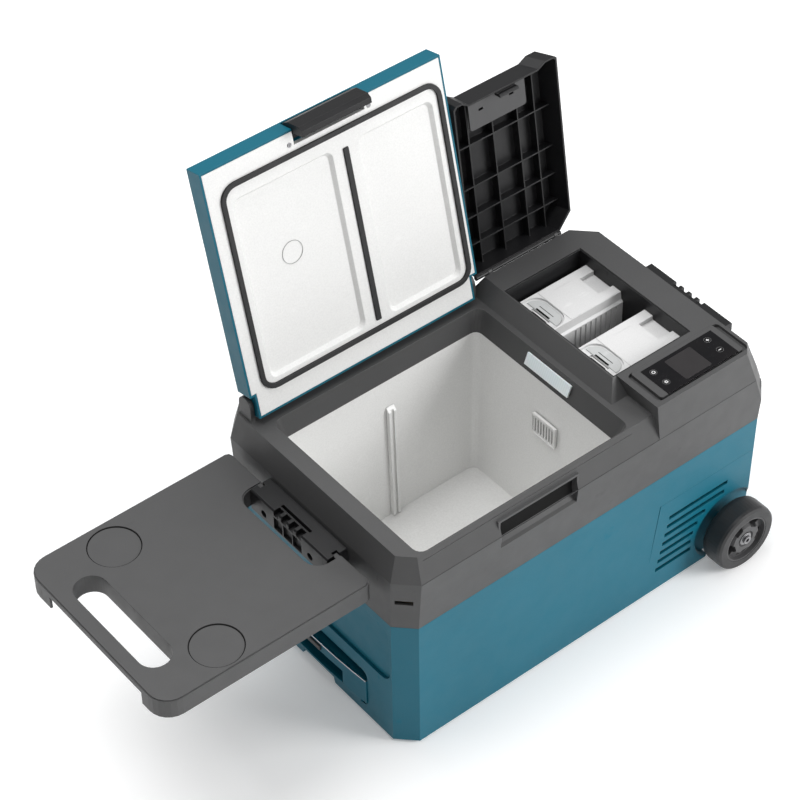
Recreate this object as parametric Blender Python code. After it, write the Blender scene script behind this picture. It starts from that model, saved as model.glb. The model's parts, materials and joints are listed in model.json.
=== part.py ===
"""Portable compressor cooler fridge on wheels: lid and battery cover open, side table fitted.

Metres, +Z up.  +X is the wheel and machinery end, -Y the front, +Y the hinge side.
Everything is modelled about the middle of the body, on the floor, and moved at the end so
that the origin is under the middle of the whole object.  Moving pieces are modelled closed,
then turned open about their hinge by a parent empty.
"""
import math

import bmesh
import bpy
from mathutils import Matrix, Vector

# ---------------------------------------------------------------- driving dimensions
GAP = 0.0003                      # clearance between pieces that rest on each other
WALL = 0.003                      # plastic wall
HALF_LENGTH = 0.300
HALF_WIDTH = 0.174
CORNER = 0.0235                   # chamfer of the body's upright corners
FLOOR_GAP = 0.004                 # underside of the housing above the floor
BELT_Z = 0.2155                   # joint between the housing and the top frame
RIDGE_Z = 0.296                   # widest line of the top frame
RIDGE_Y = 0.1804
RIM_Z = 0.3336                    # top of the frame around the tank's mouth
RIM_Y = 0.1695
DECK_Z = 0.355                    # top of the raised deck over the machinery

MOUTH_X = (-0.270, 0.057)         # mouth of the tank at the rim
MOUTH_Y = (-0.1675, 0.112)
LIP_Z = 0.305                     # lower edge of the dark lip, where the liner starts
LINER_X = (-0.262, 0.046)
LINER_Y = (-0.160, 0.104)
LINER_FLOOR_Z = 0.075
LINER_DRAFT = 0.008

DECK_X = (0.082, 0.251)           # raised deck, at its top
DECK_Y = (-RIDGE_Y, 0.132)
DECK_FOOT_X = 0.0645              # foot of the deck's slope beside the lid
STEP_X = (0.0960, 0.0883)         # left wall of the panel's step: at the ridge, at the deck
STEP_Y = (-0.126, -0.107)         # back end of that wall: at the rim, at the deck
BAY_X = (0.0835, 0.2115)          # mouth of the battery bay
BAY_Y = (-0.107, 0.0965)
BAY_FLOOR_Z = 0.266

LID_X = (-0.290, 0.063)
LID_Y = (-0.184, 0.1545)
LID_Z = (0.337, 0.3646)
LID_PIVOT = Vector((0.0, 0.1385, 0.3552))
LID_OPEN = math.radians(103.8)
LID_NOTCH_Y = 0.1215              # front of the hinge notches in the lid's back corners
LID_NOTCH_LEFT = 0.007
LID_NOTCH_RIGHT = 0.0095
LID_EARS = ((LID_X[0] + 0.0004, LID_X[0] + LID_NOTCH_LEFT - 0.0008),
            (LID_X[1] - LID_NOTCH_RIGHT + 0.0008, LID_X[1] - 0.0002))
LATCH_X = (-0.158, -0.056)
LATCH_PIVOT = Vector((-0.1070, -0.1735, 0.3540))

COVER_X = (0.0660, 0.2315)
COVER_Y = (-0.1155, 0.132)
COVER_Z = (DECK_Z + GAP, 0.386)
COVER_PIVOT = Vector((0.0, 0.1353, 0.3560))
COVER_OPEN = math.radians(99.5)
COVER_EARS = ((0.0900, 0.0955), (0.2005, 0.2060))     # ears of the frame, between the knuckles
COVER_KNUCKLE = 0.0031               # radius of the cover's knuckles
COVER_KNUCKLES = ((0.0700, 0.0894), (0.0961, 0.1999), (0.2066, 0.2110))
COVER_RECESS = 0.0060                # recess of the frame behind the cover's hinge
COVER_RECESS_X = (0.0800, 0.2130)

TABLE_X = (-0.610, -0.3137)
TABLE_Y = (-0.1335, 0.1435)
TABLE_Z = (0.260, 0.288)
CUP_RADIUS = 0.033

NOTCH_X = -0.352                     # notch of the table round its bracket
NOTCH_HALF = 0.0765
LUG_X = (-0.3215, -0.3150)           # lugs that drop into the bracket's slots
LUG_TIP = 0.0695
LUG_SLOT = (0.3145, 0.3222)
BRACKET_HALF = 0.0745
LEFT_BRACKET = ((0.3014, 0.248), (0.3250, 0.248), (0.3330, 0.258),
                (0.3330, 0.288), (0.3310, 0.290), (0.3028, 0.290))
RIGHT_BRACKET = ((0.3006, 0.250), (0.3140, 0.250), (0.3215, 0.258),
                 (0.3215, 0.281), (0.3200, 0.283), (0.2856, 0.283))

WHEEL_X = 0.238
WHEEL_RADIUS = 0.0486
WHEEL_Y = (0.1785, 0.2125)        # inner and outer side of a tyre
AXLE_RADIUS = 0.005
ARCH_RADIUS = 0.0515
ARCH_LIP_RADIUS = 0.056
ARCH_FLOOR_Y = 0.160

VENT_COUNT = 7
VENT_TOP_Z = 0.131
VENT_PITCH = 0.0145
VENT_HEIGHT = 0.0065

HANDLE_Y = 0.075                  # half the spacing of the pull handle's tubes
HANDLE_Z = 0.034

FAN_X = 0.158                        # middle of the cooling fan
FAN_Z = 0.152
FAN_Y = (-0.112, -0.090)             # front and back of its frame

BATTERY_SIZE = (0.116, 0.076, 0.068)
BATTERY_X = (0.0935, 0.2095)
BATTERY_FRONTS = {"front": -0.0985, "back": 0.0115}

ORIGIN_SHIFT = Vector((0.14425, -0.0049, 0.0))


# ---------------------------------------------------------------- materials
def material(name, colour, roughness, metallic=0.0):
    made = bpy.data.materials.new(name)
    made.use_nodes = True
    shader = made.node_tree.nodes["Principled BSDF"]
    shader.inputs["Base Color"].default_value = (*colour, 1.0)
    shader.inputs["Roughness"].default_value = roughness
    shader.inputs["Metallic"].default_value = metallic
    made.diffuse_color = (*colour, 1.0)
    return made


def make_materials():
    return {
        "teal": material("teal_plastic", (0.020, 0.150, 0.200), 0.45),
        "dark": material("dark_grey_plastic", (0.075, 0.075, 0.078), 0.55),
        "black": material("black_plastic", (0.015, 0.015, 0.016), 0.5),
        "white": material("white_liner", (0.82, 0.82, 0.80), 0.4),
        "foam": material("insulation", (0.80, 0.72, 0.50), 0.95),
        "rubber": material("rubber", (0.020, 0.020, 0.022), 0.85),
        "grey": material("wheel_grey", (0.13, 0.13, 0.135), 0.5),
        "battery": material("battery_white", (0.62, 0.62, 0.62), 0.45),
        "glass": material("panel_glass", (0.008, 0.008, 0.010), 0.08),
        "lens": material("lamp_lens", (0.92, 0.92, 0.90), 0.25),
        "steel": material("steel", (0.55, 0.55, 0.56), 0.3, 1.0),
        "chrome": material("chrome", (0.80, 0.80, 0.82), 0.1, 1.0),
        "aluminium": material("aluminium", (0.70, 0.70, 0.72), 0.35, 1.0),
        "copper": material("copper", (0.70, 0.35, 0.20), 0.3, 1.0),
        "enamel": material("compressor_enamel", (0.02, 0.02, 0.02), 0.35, 0.3),
        "board": material("circuit_board", (0.02, 0.16, 0.07), 0.5),
    }


# ---------------------------------------------------------------- outlines
def chamfered(xs, ys, cuts):
    """Rectangle with its corners cut: front left, front right, back right, back left."""
    (x0, x1), (y0, y1) = xs, ys
    a, b, c, d = cuts
    return [(x0, y0 + a), (x0 + a, y0), (x1 - b, y0), (x1, y0 + b),
            (x1, y1 - c), (x1 - c, y1), (x0 + d, y1), (x0, y1 - d)]


def rounded(xs, ys, radius, steps=4):
    """Rectangle with round corners."""
    (x0, x1), (y0, y1) = xs, ys
    centres = [(x1 - radius, y0 + radius, -90), (x1 - radius, y1 - radius, 0),
               (x0 + radius, y1 - radius, 90), (x0 + radius, y0 + radius, 180)]
    points = []
    for cx, cy, start in centres:
        for step in range(steps + 1):
            angle = math.radians(start + 90 * step / steps)
            points.append((cx + radius * math.cos(angle), cy + radius * math.sin(angle)))
    return points


def circle(cx, cy, radius, steps):
    return [(cx + radius * math.cos(2 * math.pi * i / steps),
             cy + radius * math.sin(2 * math.pi * i / steps)) for i in range(steps)]


def grown(span, amount):
    return (span[0] - amount, span[1] + amount)


# ---------------------------------------------------------------- solids
def to_object(name, build, look, smooth=None):
    bmesh.ops.remove_doubles(build, verts=build.verts, dist=1e-6)
    bmesh.ops.recalc_face_normals(build, faces=build.faces)
    mesh = bpy.data.meshes.new(name)
    build.to_mesh(mesh)
    build.free()
    made = bpy.data.objects.new(name, mesh)
    bpy.context.scene.collection.objects.link(made)
    if look:
        mesh.materials.append(look)
    if smooth:
        mesh.shade_smooth()
        mesh.set_sharp_from_angle(angle=math.radians(smooth))
    return made


def loft(name, levels, look=None, axis="z", smooth=None):
    """Solid through outlines of equal point counts: levels are (height, outline)."""
    build = bmesh.new()
    rings = []
    for height, outline in levels:
        if axis == "z":
            points = [(u, v, height) for u, v in outline]
        elif axis == "y":
            points = [(u, height, v) for u, v in outline]
        else:
            points = [(height, u, v) for u, v in outline]
        rings.append([build.verts.new(p) for p in points])
    for low, high in zip(rings, rings[1:]):
        for i, vert in enumerate(low):
            j = (i + 1) % len(low)
            build.faces.new((vert, low[j], high[j], high[i]))
    build.faces.new(rings[0])
    build.faces.new(rings[-1])
    return to_object(name, build, look, smooth)


def prism(name, outline, span, look=None, axis="z", smooth=None):
    return loft(name, [(span[0], outline), (span[1], outline)], look, axis, smooth)


def block(name, xs, ys, zs, look=None, radius=0.0, steps=3):
    outline = rounded(xs, ys, radius, steps) if radius else plain(xs, ys)
    return prism(name, outline, zs, look, smooth=35 if radius else None)


def plain(xs, ys):
    return [(xs[0], ys[0]), (xs[1], ys[0]), (xs[1], ys[1]), (xs[0], ys[1])]


def disc(name, axis, centre, radius, span, look=None, steps=32):
    """Round bar along an axis; centre is given in the two other axes' order."""
    return prism(name, circle(*centre, radius, steps), span, look, axis, smooth=35)


def turned(name, profile, axis_point, look, steps=40, axis="y"):
    """Ring turned about an axis through axis_point; profile is (radius, along), closed."""
    build = bmesh.new()
    rings = []
    for i in range(steps):
        angle = 2 * math.pi * i / steps
        ring = []
        for radius, along in profile:
            u = radius * math.cos(angle)
            v = radius * math.sin(angle)
            if axis == "y":
                point = (axis_point[0] + u, along, axis_point[1] + v)
            else:
                point = (axis_point[0] + u, axis_point[1] + v, along)
            ring.append(build.verts.new(point))
        rings.append(ring)
    for i, ring in enumerate(rings):
        after = rings[(i + 1) % steps]
        for k in range(len(ring)):
            m = (k + 1) % len(ring)
            build.faces.new((ring[k], ring[m], after[m], after[k]))
    return to_object(name, build, look, smooth=35)


def combine(target, others, operation):
    """Boolean with each of the others in turn, applied, which are then removed."""
    for other in others:
        modifier = target.modifiers.new("shape", "BOOLEAN")
        modifier.operation = operation
        modifier.object = other
        modifier.solver = "EXACT"
        bpy.context.view_layer.update()
        graph = bpy.context.evaluated_depsgraph_get()
        shaped = bpy.data.meshes.new_from_object(target.evaluated_get(graph))
        target.modifiers.clear()
        old = target.data
        target.data = shaped
        bpy.data.meshes.remove(old)
        bpy.data.objects.remove(other)
    return target


def cut(target, *cutters):
    return combine(target, cutters, "DIFFERENCE")


def fuse(target, *others):
    return combine(target, others, "UNION")


def finish(made, smooth=None):
    """Name the mesh after its piece and smooth the edges flatter than an angle."""
    made.data.name = made.name
    if smooth:
        made.data.shade_smooth()
        made.data.set_sharp_from_angle(angle=math.radians(smooth))
    return made


def hang(name, pivot, pieces, angle=0.0, parent=None):
    """Parent pieces, modelled in place, to an empty on their joint's axis."""
    empty = bpy.data.objects.new(name, None)
    empty.empty_display_size = 0.03
    bpy.context.scene.collection.objects.link(empty)
    base = Vector(pivot)
    if parent:
        empty.parent = parent[0]
        empty.location = base - parent[1]
    else:
        empty.location = base
    empty.rotation_euler = (angle, 0.0, 0.0)
    for piece in pieces:
        piece.data.transform(Matrix.Translation(-base))
        piece.parent = empty
    return empty, base


# ---------------------------------------------------------------- housing
def body_outline(z, grow=0.0):
    """Outline of the teal housing, a little narrower at the floor."""
    draft = 0.0022 * (1.0 - z / BELT_Z)
    size = grow - draft
    return chamfered((-HALF_LENGTH - size, HALF_LENGTH + size),
                     (-HALF_WIDTH - size, HALF_WIDTH + size), (CORNER,) * 4)


def arch(side, grow, deeper=0.0):
    """Dished recess around a wheel, as a solid that reaches out past the wall."""
    centre = (WHEEL_X, WHEEL_RADIUS)
    face = HALF_WIDTH + 0.0005
    floor = ARCH_FLOOR_Y - deeper
    levels = [(side * floor, circle(*centre, ARCH_RADIUS + grow, 48)),
              (side * (face - 0.006), circle(*centre, ARCH_RADIUS + grow, 48)),
              (side * face, circle(*centre, ARCH_LIP_RADIUS + grow, 48)),
              (side * (face + 0.01), circle(*centre, ARCH_LIP_RADIUS + grow, 48))]
    return loft("arch", levels, axis="y")


def end_recess(grow, deeper=0.0):
    """Shallow panel at the top of the left end wall."""
    xs = (-HALF_LENGTH - 0.01, -HALF_LENGTH + 0.005 + deeper)
    return prism("recess", rounded(grown((-0.146, 0.146), grow), grown((0.106, 0.203), grow), 0.018),
                 xs, axis="x")


def grip_recess(grow, deeper=0.0):
    """Pocket of the pull handle's grip, low in the left end wall."""
    xs = (-HALF_LENGTH - 0.01, -HALF_LENGTH + 0.018 + deeper)
    return prism("pocket", rounded(grown((-0.100, 0.100), grow), grown((0.0195, 0.084), grow), 0.010),
                 xs, axis="x")


def vent_right_end(z):
    """Right end of a vent slot: upright above the wheel, then clear of its arch."""
    clear = ARCH_LIP_RADIUS + 0.006
    rise = z - WHEEL_RADIUS
    if abs(rise) >= clear:
        return 0.2335
    return min(0.2335, WHEEL_X - math.sqrt(clear ** 2 - rise ** 2))


def vent_slots(side):
    slots = []
    for row in range(VENT_COUNT):
        top = VENT_TOP_Z - row * VENT_PITCH
        low = top - VENT_HEIGHT
        left = 0.132 - 0.195 * (VENT_TOP_Z - top)
        slot = block("slot", (left, vent_right_end(low)), sorted((side * 0.165, side * 0.180)), (low, top))
        slots.append(slot)
    return slots


def panel_line():
    """Shallow moulded line that frames the vents."""
    face = -HALF_WIDTH
    top = block("line", (0.114, HALF_LENGTH - CORNER), (face - 0.004, face + 0.0008), (0.1600, 0.1612))
    side = prism("line", [(0.0955, 0.018), (0.0967, 0.018), (0.1150, 0.1612), (0.1138, 0.1612)],
                 (face - 0.004, face + 0.0016), axis="y")
    return [top, side]


def wall_panels():
    """Shallow panels in the back and in the right end, which follow the walls' draft."""
    low, high = 0.034, 0.188
    depth = 0.0009

    def face(half, z):
        return half - depth - 0.0022 * (1.0 - z / BELT_Z)

    back = [(face(HALF_WIDTH, low), low), (0.19, low), (0.19, high), (face(HALF_WIDTH, high), high)]
    end = [(face(HALF_LENGTH, low), low), (0.31, low), (0.31, high), (face(HALF_LENGTH, high), high)]
    return [prism("panel", back, (-0.250, 0.070), axis="x"), prism("panel", end, (-0.128, 0.040), axis="y")]


def make_housing(looks):
    levels = [FLOOR_GAP, BELT_Z - GAP]
    shell = loft("housing_shell", [(z, body_outline(z)) for z in levels], looks["teal"])
    hollow = loft("hollow", [(z, body_outline(z, -WALL)) for z in (FLOOR_GAP + WALL, BELT_Z + 0.01)])
    cut(hollow, arch(-1, WALL, WALL), arch(1, WALL, WALL))
    cut(hollow, end_recess(WALL, WALL), grip_recess(WALL, WALL))
    cut(shell, hollow)
    cut(shell, arch(-1, 0.0), arch(1, 0.0), end_recess(0.0), grip_recess(0.0))
    cut(shell, *vent_slots(-1), *vent_slots(1), *panel_line())
    cut(shell, disc("bore", "y", (WHEEL_X, WHEEL_RADIUS), AXLE_RADIUS + GAP, (-0.17, 0.17), steps=24))
    for side in (-1, 1):
        cut(shell, disc("bore", "x", (side * HANDLE_Y, HANDLE_Z), 0.0106, (-0.296, -0.270), steps=24))
    arch_notch = prism("notch", [(-0.037, -0.01), (0.037, -0.01), (0.030, 0.0135), (-0.030, 0.0135)],
                       (-0.31, -0.2795), axis="x")
    cut(shell, arch_notch)
    cut(shell, *wall_panels())
    inlet_hole = block("hole", (0.290, 0.31), (0.0655, 0.0945), (0.1505, 0.1795))
    cut(shell, inlet_hole)
    finish(shell, 25)
    for side, word in ((-1, "front"), (1, "back")):
        block("foot_" + word, (-0.262, -0.222), sorted((side * 0.105, side * 0.145)),
              (0.0, FLOOR_GAP - GAP), looks["rubber"], radius=0.006)


# ---------------------------------------------------------------- top frame
def left_frame_levels(right, inset=0.0, top=RIM_Z):
    """Frame around the tank: belt, ridge and rim outlines."""
    rows = [(BELT_Z, -HALF_LENGTH, HALF_WIDTH, CORNER), (RIDGE_Z, -0.3026, RIDGE_Y, 0.0255),
            (RIM_Z, -0.2925, RIM_Y, 0.0180)]
    levels = []
    for z, left, half, corner in rows:
        outline = chamfered((left + inset, right), (-half + inset, half - inset),
                            (corner, 0.001, 0.001, corner))
        levels.append((min(z, top), outline))
    return levels


def deck_outline(z, inset=0.0):
    """Outline of the raised deck's shell: the end and back lean in above the belt."""
    lean_start = 0.250
    lean = max(0.0, z - lean_start) / (DECK_Z - lean_start)
    right = HALF_LENGTH - lean * (HALF_LENGTH - DECK_X[1])
    back = HALF_WIDTH + 0.002 - lean * (HALF_WIDTH + 0.002 - DECK_Y[1])
    front = HALF_WIDTH + (RIDGE_Y - HALF_WIDTH) * min(1.0, (z - BELT_Z) / (RIDGE_Z - BELT_Z))
    rise = max(0.0, z - RIM_Z) / (DECK_Z - RIM_Z)
    left = DECK_FOOT_X + rise * (DECK_X[0] - DECK_FOOT_X)
    front_cut = CORNER - lean * 0.009
    back_cut = CORNER + lean * 0.0035
    return chamfered((left + inset, right - inset), (-front + inset, back - inset),
                     (0.001, front_cut, back_cut, 0.001))


def deck_levels(inset=0.0, top=DECK_Z):
    heights = [BELT_Z, 0.250, RIDGE_Z, RIM_Z, DECK_Z]
    return [(min(z, top), deck_outline(z, inset)) for z in heights]


def open_below(levels):
    """The same space, drawn out below the belt."""
    return [(BELT_Z - 0.01, levels[0][1]), *levels[1:]]


def step_spaces():
    """Space left of the panel's step: above the rim, and in front of the rim's slope."""
    def wall_x(z):
        share = (z - RIDGE_Z) / (DECK_Z - RIDGE_Z)
        return STEP_X[0] + share * (STEP_X[1] - STEP_X[0])

    def end_y(z):
        share = (z - RIM_Z) / (DECK_Z - RIM_Z)
        return STEP_Y[0] + share * (STEP_Y[1] - STEP_Y[0])

    left, front = 0.030, -0.200
    upper = [(z, plain((left, wall_x(z)), (front, end_y(z)))) for z in (RIM_Z, 0.375)]
    lower = [(RIDGE_Z, plain((left, wall_x(RIDGE_Z)), (front, -RIDGE_Y))),
             (RIM_Z, plain((left, wall_x(RIM_Z)), (front, -RIM_Y)))]
    return [loft("step", upper), loft("step", lower)]


def step_backing():
    """What the machinery's space leaves clear behind the step's wall and floor."""
    right = STEP_X[0] + WALL
    upper = block("step", (0.030, right), (-0.250, STEP_Y[1] + WALL), (RIM_Z - WALL, 0.375))
    slope = [(-0.250, 0.270), (WALL - RIDGE_Y, 0.270), (WALL - RIDGE_Y, RIDGE_Z),
             (WALL - RIM_Y, RIM_Z - 0.001),
             (-0.250, RIM_Z - 0.001)]
    return [upper, prism("step", slope, (0.030, right + 0.001), axis="x")]


def mouth_levels(low_z, grow=0.0):
    low = rounded(grown(LINER_X, grow), grown(LINER_Y, grow), 0.010 + grow)
    high = rounded(grown(MOUTH_X, grow), grown(MOUTH_Y, grow), 0.012 + grow)
    slope = (RIM_Z + 0.01 - LIP_Z) / (RIM_Z - LIP_Z)
    above = [(lx + slope * (hx - lx), ly + slope * (hy - ly)) for (lx, ly), (hx, hy) in zip(low, high)]
    return [(low_z, low), (LIP_Z + 0.0001, low), (RIM_Z + 0.01, above)]


def corner_slot(x, side):
    """Tie-down slot in the facet of a front corner, under the ridge."""
    slot = block("slot", (-0.011, 0.011), (-0.012, 0.006), (0.2585, 0.2655))
    turn = Matrix.Rotation(math.radians(-45 * side), 4, "Z")
    slot.data.transform(Matrix.Translation((x, -0.164, 0.0)) @ turn)
    return slot


def hinge_ear(name, x0, x1, pivot, radius, foot_z, half_foot):
    """Upright ear with a round top around a hinge pivot."""
    outline = [(pivot.y - half_foot, foot_z), (pivot.y + half_foot, foot_z)]
    for step in range(11):
        angle = math.radians(18 * step)
        outline.append((pivot.y + radius * math.cos(angle), pivot.z + radius * math.sin(angle)))
    return prism(name, outline, (x0, x1), axis="x")


def lid_trough():
    """Trough behind the mouth that clears the lid's back edge as it turns."""
    reach = 0.0250
    span = (LID_X[0] + LID_NOTCH_LEFT - 0.0008, LID_X[1] - LID_NOTCH_RIGHT + 0.0008)
    return disc("trough", "x", (LID_PIVOT.y, LID_PIVOT.z), reach, span, steps=48)


def make_frame(looks):
    frame = loft("top_frame", left_frame_levels(0.075), looks["dark"])
    deck = loft("deck", deck_levels())
    cut(deck, *step_spaces())
    fuse(frame, deck)

    hollow = loft("hollow", open_below(left_frame_levels(0.062, WALL, RIM_Z - WALL)))
    cut(hollow, loft("lip", mouth_levels(LIP_Z, 0.004)))
    cut(frame, hollow)

    machine = loft("machine_space", open_below(deck_levels(WALL, DECK_Z - WALL)))
    cut(machine, block("bay_walls", grown(BAY_X, 0.0025), grown(BAY_Y, 0.0025), (0.30, 0.37)))
    cut(machine, block("panel_seat", (0.0400, 0.3000), (-0.2500, -0.1080), (DECK_Z - 0.0075, DECK_Z + 0.01)))
    cut(machine, *step_backing())
    cut(frame, machine)
    cut(frame, loft("mouth", mouth_levels(LIP_Z - 0.01)))
    cut(frame, block("bay", BAY_X, BAY_Y, (0.28, 0.37)))

    pocket = block("panel_pocket", (0.0965, 0.2465), (-0.1740, -0.1158), (DECK_Z - 0.0045, DECK_Z + 0.01),
                   radius=0.006)
    latch_pocket = prism("latch_pocket",
                         [(-0.195, 0.2745), (-0.1795, 0.2745), (-0.1745, 0.2775), (-0.1705, 0.2830),
                                          (-0.1690, 0.2900), (-0.1675, 0.3165), (-0.195, 0.3165)],
                         (-0.1555, -0.0360), axis="x")
    backing = block("backing", (-0.1585, -0.0330), (-0.1772, -0.1655), (0.2715, 0.3195))
    bead_line = block("line", (-0.268, 0.056), (-0.185, -0.1713), (0.3250, 0.3258))
    fuse(frame, backing, block("trough_backing", (-0.2840, 0.0545), (0.1230, 0.1540), (0.3255, 0.3325)))
    cut(frame, pocket, latch_pocket, bead_line, lid_trough())
    cut(frame, corner_slot(-0.2905, 1), corner_slot(0.2905, -1))

    ears = [hinge_ear("ear", x0, x1, LID_PIVOT, 0.0115, RIM_Z - 0.002, 0.0125) for x0, x1 in LID_EARS]
    fuse(frame, *ears)
    ears = [hinge_ear("ear", x0, x1, COVER_PIVOT, COVER_KNUCKLE, 0.342, COVER_KNUCKLE)
            for x0, x1 in COVER_EARS]
    fuse(frame, *ears)
    bores = [disc("bore", "x", (LID_PIVOT.y, LID_PIVOT.z), 0.0028, span, steps=16)
             for span in ((-0.2893, -0.270), (0.050, 0.0623))]
    bores.append(disc("bore", "x", (COVER_PIVOT.y, COVER_PIVOT.z), 0.0018, (0.085, 0.21), steps=12))
    cut(frame, *bores)
    finish(frame, 25)


# ---------------------------------------------------------------- tank
def liner_outline(z, grow=0.0):
    share = (LIP_Z - z) / (LIP_Z - LINER_FLOOR_Z)
    inset = LINER_DRAFT * share - grow
    return rounded((LINER_X[0] + inset, LINER_X[1] - inset), (LINER_Y[0] + inset, LINER_Y[1] - inset),
                   0.012 + grow)


def make_tank(looks):
    top = LIP_Z - GAP
    wall = 0.002
    floor = LINER_FLOOR_Z
    liner = loft("inner_liner", [(z, liner_outline(z, wall)) for z in (floor - wall, top)], looks["white"])
    cut(liner, loft("tank", [(z, liner_outline(z)) for z in (floor, top + 0.01)]))
    finish(liner, 30)

    jacket_top = 0.285
    jacket_low = 0.100
    jacket = loft("evaporator_jacket",
                  [(z, liner_outline(z, wall + 0.0014)) for z in (jacket_low, jacket_top)],
                  looks["aluminium"])
    cut(jacket, loft("inside",
                     [(z, liner_outline(z, wall + 0.0004)) for z in (jacket_low - 0.01, jacket_top + 0.01)]))
    finish(jacket, 30)

    foam_outline = chamfered((-0.2835, 0.0605), (-0.1685, 0.1660), (0.016, 0.001, 0.001, 0.016))
    foam = prism("insulation_foam", foam_outline, (0.048, 0.2995), looks["foam"])
    cut(foam, loft("tank", [(z, liner_outline(z, wall + 0.0018)) for z in (floor - wall - 0.0005, 0.31)]))
    cut(foam, grip_recess(WALL + GAP, WALL + GAP))
    cut(foam, block("latch_backing", (-0.160, -0.0315), (-0.180, -0.1652), (0.2710, 0.3100)))
    finish(foam, 30)

    rail_x = -0.097
    for side, word in ((-1, "front"), (1, "back")):
        wall_y = LINER_Y[0] if side < 0 else LINER_Y[1]
        low_y = wall_y - side * (LINER_DRAFT + 0.0005)
        high_y = wall_y - side * (LINER_DRAFT * 0.19 + 0.0005)
        depth = side * 0.006
        sides = [(low_y - depth, 0.078), (low_y, 0.078), (high_y, 0.262), (high_y - depth, 0.256)]
        rail = prism("divider_guide_" + word, sides, (rail_x - 0.006, rail_x + 0.006), looks["white"],
                     axis="x")
        middle = [(y - side * 0.003, z) for y, z in ((low_y - depth, 0.07), (low_y, 0.07),
                                                     (high_y, 0.28), (high_y - depth, 0.28))]
        cut(rail, prism("slot", middle, (rail_x - 0.002, rail_x + 0.002), axis="x"))
        finish(rail)


def make_tank_fittings(looks):
    """Lamp lens on the lip's slope and the sensor cover on the tank's right wall."""
    slope = math.atan2(MOUTH_X[1] - LINER_X[1], RIM_Z - LIP_Z)
    lens = block("lamp_lens", (-0.0025, 0.0), (-0.040, 0.040), (-0.0085, 0.0085), looks["lens"])
    lens.data.transform(Matrix.Translation((0.0508, -0.027, 0.3205)) @ Matrix.Rotation(slope, 4, "Y"))
    finish(lens)
    z = 0.236
    wall_x = LINER_X[1] - LINER_DRAFT * (LIP_Z - z) / (LIP_Z - LINER_FLOOR_Z) - 0.0010
    cover = block("sensor_cover", (wall_x - 0.004, wall_x), (-0.055, -0.013), (z - 0.016, z + 0.016),
                  looks["white"])
    slots = [block("slot", (wall_x - 0.006, wall_x - 0.0015), (y, y + 0.0028), (z - 0.012, z + 0.012))
             for y in (-0.0515 + 0.0051 * i for i in range(8))]
    cut(cover, *slots)
    finish(cover)


# ---------------------------------------------------------------- machinery


def make_machinery(looks):
    base_z = FLOOR_GAP + WALL + GAP
    block("compressor_base", (0.128, 0.222), (-0.050, 0.118), (base_z, base_z + 0.002), looks["steel"], 0.006)
    bottom = base_z + 0.002 + GAP
    cx, cy, radius = 0.175, 0.045, 0.044
    rings = [(bottom, radius * 0.80), (bottom + 0.014, radius), (bottom + 0.075, radius),
             (bottom + 0.098, radius * 0.86), (bottom + 0.108, radius * 0.45)]
    shell = loft("compressor", [(z, circle(cx, cy, r, 36)) for z, r in rings], looks["enamel"], smooth=35)
    fuse(shell, disc("stub", "x", (cy - 0.02, bottom + 0.06), 0.004, (cx - 0.062, cx - 0.03), steps=12))
    finish(shell, 35)

    fins = block("condenser", (0.112, 0.226), (-0.146, -0.122), (0.118, 0.200), looks["aluminium"])
    slots = [block("slot", (x, x + 0.0042), (-0.150, -0.129), (0.122, 0.196))
             for x in (0.1150 + 0.0073 * i for i in range(15))]
    cut(fins, *slots)
    finish(fins)

    frame = block("fan_frame", (FAN_X - 0.042, FAN_X + 0.042), FAN_Y, (FAN_Z - 0.042, FAN_Z + 0.042),
                  looks["black"])
    ring = turned("duct", [(0.013, FAN_Y[0] + 0.003), (0.0385, FAN_Y[0] + 0.003), (0.0385, 0.0),
                           (0.013, 0.0)],
                  (FAN_X, FAN_Z), None)
    middle = disc("hub_space", "y", (FAN_X, FAN_Z), 0.0135, (-0.1045, 0.0), steps=24)
    spokes = []
    for quarter in range(4):
        outline = []
        for radius, degrees in ((0.0155, 12), (0.0372, 6), (0.0372, 84), (0.0155, 78)):
            angle = math.radians(degrees + 90 * quarter)
            outline.append((FAN_X + radius * math.cos(angle), FAN_Z + radius * math.sin(angle)))
        spokes.append(prism("window", outline, (-0.13, -0.10), axis="y"))
    cut(frame, ring, middle, *spokes)
    finish(frame, 35)

    rotor = disc("fan_rotor", "y", (FAN_X, FAN_Z), 0.0125, (-0.1040, -0.0905), looks["black"], 24)
    blades = []
    for number in range(7):
        blade = block("blade", (0.010, 0.0365), (-0.0045, 0.0045), (-0.0009, 0.0009))
        tilt = Matrix.Rotation(math.radians(32), 4, "X")
        spin = Matrix.Rotation(2 * math.pi * number / 7, 4, "Y")
        blade.data.transform(Matrix.Translation((FAN_X, -0.0972, FAN_Z)) @ spin @ tilt)
        blades.append(blade)
    fuse(rotor, *blades)
    finish(rotor, 35)
    hang("fan_axis", (FAN_X, 0.0, FAN_Z), [rotor])

    board = block("control_board", (0.095, 0.195), (-0.060, 0.060), (0.236, 0.2376), looks["board"])
    parts = [block("part", (x, x + dx), (y, y + dy), (0.2370, 0.2376 + dz))
             for x, dx, y, dy, dz in ((0.105, 0.020, -0.045, 0.030, 0.012),
                                      (0.140, 0.012, -0.050, 0.012, 0.016),
                                      (0.160, 0.024, -0.010, 0.040, 0.010),
                                      (0.108, 0.016, 0.015, 0.024, 0.008))]
    fuse(board, *parts)
    finish(board)


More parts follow.
